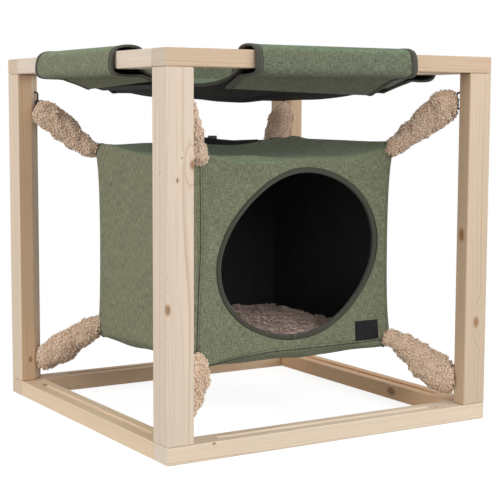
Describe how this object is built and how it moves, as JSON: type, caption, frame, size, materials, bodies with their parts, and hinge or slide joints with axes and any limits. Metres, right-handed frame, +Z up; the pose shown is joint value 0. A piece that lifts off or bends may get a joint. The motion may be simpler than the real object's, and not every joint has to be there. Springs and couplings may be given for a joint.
{
  "type": "cat hammock",
  "caption": "Square wooden frame with a cloth hammock strapped over its top rails and a soft cube den with an oval entrance hung inside by plush-covered elastic arms.",
  "frame": {"origin": "centre of the frame's footprint, on the floor", "axes": "+Z up, the entrance faces -Y, +X to the right when it is seen from the front"},
  "size_m": [0.5104, 0.5104, 0.5064],
  "materials": {
    "pine": "planed and lightly sealed",
    "steel": "plain",
    "black_steel": "black",
    "green_cloth": "heather weave",
    "black_cloth": "matt weave",
    "binding": "folded tape",
    "beige_plush": "curly plush",
    "taupe_plush": "short plush",
    "zip_tape": "woven tape with a nylon chain",
    "dark_metal": "dark metal"
  },
  "bodies": {
    "frame": {"arm_bottom_back_left": "beige_plush", "arm_bottom_back_right": "beige_plush", "arm_bottom_front_left": "beige_plush", "arm_bottom_front_right": "beige_plush", "arm_top_back_left": "beige_plush", "arm_top_back_right": "beige_plush", "arm_top_front_left": "beige_plush", "arm_top_front_right": "beige_plush", "bottom_rail_back": "pine", "bottom_rail_front": "pine", "bottom_rail_left": "pine", "bottom_rail_right": "pine", "closure_strip_back": "black_cloth", "closure_strip_front": "black_cloth", "closure_strip_left": "black_cloth", "closure_strip_right": "black_cloth", "hammock_bed": "green_cloth", "hammock_sleeve_back": "green_cloth", "hammock_sleeve_front": "green_cloth", "hammock_sleeve_left": "green_cloth", "hammock_sleeve_right": "green_cloth", "post_back_left": "pine", "post_back_right": "pine", "post_front_left": "pine", "post_front_right": "pine", "post_screw_bottom_back_left": "steel", "post_screw_bottom_back_right": "steel", "post_screw_bottom_front_left": "steel", "post_screw_bottom_front_right": "steel", "post_screw_top_back_left": "steel", "post_screw_top_back_right": "steel", "post_screw_top_front_left": "steel", "post_screw_top_front_right": "steel", "saddle_bottom_back_left": "black_steel", "saddle_bottom_back_right": "black_steel", "saddle_bottom_front_left": "black_steel", "saddle_bottom_front_right": "black_steel", "saddle_top_back_left": "black_steel", "saddle_top_back_right": "black_steel", "saddle_top_front_left": "black_steel", "saddle_top_front_right": "black_steel", "top_rail_back": "pine", "top_rail_front": "pine", "top_rail_left": "pine", "top_rail_right": "pine"},
    "cube": {"cube_front": "green_cloth", "cube_back": "green_cloth", "cube_left": "green_cloth", "cube_right": "green_cloth", "cube_top": "green_cloth", "cube_bottom": "green_cloth", "entrance_binding": "binding", "cube_patch": "black_cloth", "cube_mat": "taupe_plush", "zip_tape": "zip_tape"},
    "zip_slider": {"zip_slider": "dark_metal"},
    "zip_pull": {"zip_pull": "dark_metal"}
  },
  "joints": [
    {"name": "cube_bounce", "type": "slide", "parent": "frame", "child": "cube", "axis": [0, 0, 1], "range_m": [-0.045, 0.02], "stiffness_N_per_m": 1200, "springref_m": 0.0111, "deforming": ["arm_top_front_left", "arm_top_front_right", "arm_top_back_left", "arm_top_back_right", "arm_bottom_front_left", "arm_bottom_front_right", "arm_bottom_back_left", "arm_bottom_back_right"]},
    {"name": "zip_slide", "type": "slide", "parent": "cube", "child": "zip_slider", "axis": [1, 0, 0], "range_m": [-0.161, 0.075]},
    {"name": "zip_pull_swing", "type": "hinge", "parent": "zip_slider", "child": "zip_pull", "pos_m": [0.043, 0.1577, 0.38574], "axis": [1, 0, 0], "range_deg": [0, 170]}
  ]
}
